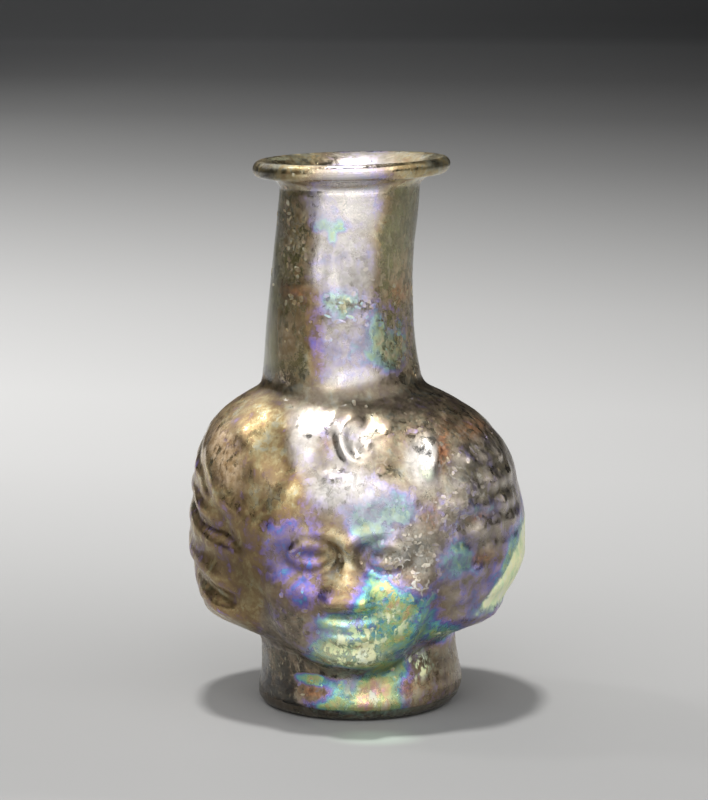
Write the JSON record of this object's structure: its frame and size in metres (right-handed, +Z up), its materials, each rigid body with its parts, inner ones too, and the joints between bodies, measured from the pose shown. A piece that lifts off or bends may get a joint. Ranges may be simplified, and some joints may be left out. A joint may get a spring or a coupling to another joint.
{
  "type": "janiform head flask",
  "caption": "Mould-blown glass flask shaped as two heads back to back, with a tall neck, a rolled rim and a short foot; hollow, empty and open at the mouth.",
  "frame": {"origin": "centre of the flask's footprint box, on the surface it stands on", "axes": "+Z up, out of the mouth; -Y is the way the front face looks, +Y the back face; +X and -X are the two sides with the hair"},
  "size_m": [0.0533, 0.0518, 0.0873],
  "materials": {
    "weathered_glass": "olive-brown glass under a flaking iridescent weathering film, glossy, part see-through"
  },
  "bodies": {
    "root": {"flask": "weathered_glass"}
  },
  "joints": []
}
